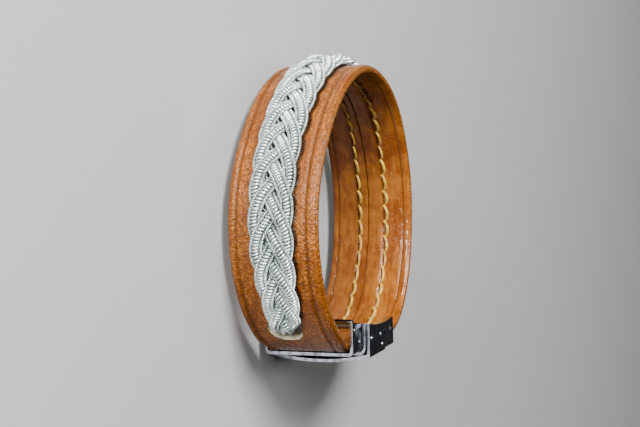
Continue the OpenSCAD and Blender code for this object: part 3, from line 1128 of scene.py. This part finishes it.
def softened(node, bevel):
    """Copy of a rigid node's mesh with its edges broken."""
    work = bmesh.new()
    work.from_mesh(frame["nodes"][node].data)
    bmesh.ops.remove_doubles(work, verts=work.verts, dist=MERGE)
    bmesh.ops.dissolve_limit(
        work, angle_limit=math.radians(1), verts=work.verts, edges=work.edges, delimit=set()
    )
    joined = [edge for edge in work.edges if len(edge.link_faces) == 2]
    sharp = [edge for edge in joined if edge.calc_face_angle() > SHARP_TURN]
    # Narrow rims take the second material, the painted highlight
    for face in work.faces:
        narrow = 2 * face.calc_area() / face.calc_perimeter() < SHEET_RIM
        if narrow and all(edge in sharp for edge in face.edges):
            face.material_index = 1
    # The bevels take the painted highlight too
    bmesh.ops.bevel(
        work,
        geom=sharp,
        material=1,
        offset=bevel,
        offset_type="OFFSET",
        segments=2,
        profile=0.6,
        affect="EDGES",
        clamp_overlap=True,
    )
    bmesh.ops.recalc_face_normals(work, faces=work.faces)
    mesh = bpy.data.meshes.new(node)
    work.to_mesh(mesh)
    work.free()
    smooth(mesh, sharp_angle=32)
    return mesh


def highlight_edge_material(clasp):
    """Steel three times as bright, a painted highlight, on the broken edges and the sheet's rims."""
    material, graph, shader = shaded("painted_highlight_steel_edge", {"Metallic": 1.0, "Roughness": 0.22})
    painted_mask = graph.noise(object_mm(graph), 0.8, 3, 0.6)
    clouded(graph, shader, painted_mask, 0.3, 0.6, tuple(clasp.shade), toned(clasp.shade, 3.0))
    return material


def make_clasp(clasp):
    """The four parts of the clasp, each in place of its plain solid."""
    # The second finish paints a highlight on the edges and rims
    finishes = (steel_material(clasp), highlight_edge_material(clasp))
    for node, body in CLASP_BODIES.items():
        mesh = softened(node, clasp.bevel)
        for finish in finishes:
            mesh.materials.append(finish)
        new_piece(f"{node}_polished", mesh, body, [node])


# Stage


# Camera: its turn towards the loop's axis, its rise, its roll, its distance and lens, and what it looks at
VIEW_TURN = 20.73
VIEW_RISE = 5.29
VIEW_ROLL = -1.91
VIEW_DISTANCE = 339.94
VIEW_AIM = (-4.096, 1.52, 0)
VIEW_LENS = 90.8
SENSOR_W = 36
# Soft lights in metres: direction, distance, and width and height of each
LIGHTS = {
    "key": ((-0.45, 0.66, 0.64), 0.7, (0.32, 0.24)),
    "front": ((-0.87, 0.40, 0.14), 0.75, (0.26, 0.13)),
    "back": ((0.55, 0.15, 0.82), 0.8, (0.2, 0.2)),
}
# Height of the point that the lights shine at, and how far the floor goes each way, in metres
LIGHT_AIM = 0.011
FLOOR_REACH = 2.5


def view_axes():
    """Right, up and back of the camera."""
    turn, rise, roll = (math.radians(angle) for angle in (VIEW_TURN, VIEW_RISE, VIEW_ROLL))
    back = Vector((-math.cos(turn) * math.cos(rise), math.sin(rise), math.sin(turn) * math.cos(rise)))
    level = Vector((0, 1, 0)).cross(back).normalized()
    upright = back.cross(level)
    right = level * math.cos(roll) + upright * math.sin(roll)
    up = upright * math.cos(roll) - level * math.sin(roll)
    return right, up, back


def make_camera():
    """Camera at the photograph's viewing angle."""
    right, up, back = view_axes()
    data = bpy.data.cameras.new("camera")
    data.lens = VIEW_LENS
    data.sensor_width = SENSOR_W
    data.clip_start = 0.01
    camera = bpy.data.objects.new("camera", data)
    aim = (Vector(VIEW_AIM) + Vector(route.shift)) * MM
    turned = Matrix((right, up, back)).transposed().to_4x4()
    camera.matrix_world = Matrix.Translation(aim + back * (VIEW_DISTANCE * MM)) @ turned
    bpy.context.scene.collection.objects.link(camera)
    bpy.context.scene.camera = camera


def soft_light(name, way, distance, size, energy):
    """Soft light that shines on the bracelet from a direction."""
    data = bpy.data.lights.new(name, "AREA")
    data.shape = "RECTANGLE"
    data.size, data.size_y = size
    data.energy = energy
    light = bpy.data.objects.new(name, data)
    way = Vector(way).normalized()
    light.location = way * distance + Vector((0, 0, LIGHT_AIM))
    light.rotation_euler = way.to_track_quat("Z", "Y").to_euler()
    bpy.context.scene.collection.objects.link(light)


def floor_material(stage):
    """Pale matt paint."""
    material, graph, shader = shaded("floor_paint", {"Roughness": 0.75, "Specular IOR Level": 0.3})
    cloud = graph.noise(object_mm(graph), 0.02, 2, 0.5)
    base = graph.blend(cloud, toned(stage.floor, 0.97), tuple(stage.floor))
    graph.feed(shader.inputs["Base Color"], base)
    return material


def make_stage(stage):
    """Floor, even light all round, soft lights and camera."""
    mesh = bpy.data.meshes.new("floor")
    corners = [(x * FLOOR_REACH, y * FLOOR_REACH, 0) for x, y in ((-1, -1), (1, -1), (1, 1), (-1, 1))]
    mesh.from_pydata(corners, [], [(0, 1, 2, 3)])
    mesh.materials.append(floor_material(stage))
    floor = bpy.data.objects.new("floor", mesh)
    bpy.context.scene.collection.objects.link(floor)

    world = bpy.data.worlds.new("studio")
    world.use_nodes = True
    background = world.node_tree.nodes["Background"]
    background.inputs["Color"].default_value = (1, 1, 1, 1)
    background.inputs["Strength"].default_value = stage.sky
    bpy.context.scene.world = world

    powers = {"key": stage.key_power, "front": stage.fill_power, "back": stage.back_power}
    for name, energy in powers.items():
        soft_light(name, *LIGHTS[name], energy)
    make_camera()


# Operators, panel and registration


class BRACELET_OT_leather(bpy.types.Operator):
    """Make the leather band with its creases, seam and punched holes"""

    bl_idname = "bracelet.leather"
    bl_label = "Leather band"

    def execute(self, context):
        make_leather(context.scene.bracelet.leather)
        return {"FINISHED"}


class BRACELET_OT_stitches(bpy.types.Operator):
    """Make the two rows of stitches inside the band"""

    bl_idname = "bracelet.stitches"
    bl_label = "Stitches"

    def execute(self, context):
        make_stitches(context.scene.bracelet.stitches, context.scene.bracelet.leather)
        return {"FINISHED"}


class BRACELET_OT_braid(bpy.types.Operator):
    """Make the five wound strands of the braid"""

    bl_idname = "bracelet.braid"
    bl_label = "Braid"

    def execute(self, context):
        make_braid(context.scene.bracelet.braid)
        return {"FINISHED"}


class BRACELET_OT_clasp(bpy.types.Operator):
    """Make the polished parts of the clasp"""

    bl_idname = "bracelet.clasp"
    bl_label = "Clasp"

    def execute(self, context):
        make_clasp(context.scene.bracelet.clasp)
        return {"FINISHED"}


class BRACELET_OT_stage(bpy.types.Operator):
    """Make the floor, the lights and the camera"""

    bl_idname = "bracelet.stage"
    bl_label = "Stage"

    def execute(self, context):
        make_stage(context.scene.bracelet.stage)
        return {"FINISHED"}


STEPS = (
    BRACELET_OT_leather,
    BRACELET_OT_stitches,
    BRACELET_OT_braid,
    BRACELET_OT_clasp,
    BRACELET_OT_stage,
)


class BRACELET_PT_panel(bpy.types.Panel):
    """Buttons that make the bracelet piece by piece"""

    bl_label = "Leather bracelet"
    bl_idname = "BRACELET_PT_panel"
    bl_space_type = "VIEW_3D"
    bl_region_type = "UI"
    bl_category = "Bracelet"

    def draw(self, context):
        for step in STEPS:
            self.layout.operator(step.bl_idname)


CLASSES = (
    LeatherSettings,
    StitchSettings,
    BraidSettings,
    ClaspSettings,
    StageSettings,
    BandSettings,
    *STEPS,
    BRACELET_PT_panel,
)


def register():
    for kind in CLASSES:
        bpy.utils.register_class(kind)
    bpy.types.Scene.bracelet = PointerProperty(type=BandSettings)


def unregister():
    del bpy.types.Scene.bracelet
    for kind in reversed(CLASSES):
        bpy.utils.unregister_class(kind)


def main():
    register()
    bpy.ops.bracelet.leather()
    bpy.ops.bracelet.stitches()
    bpy.ops.bracelet.braid()
    bpy.ops.bracelet.clasp()
    bpy.ops.bracelet.stage()


if __name__ == "__main__":
    main()
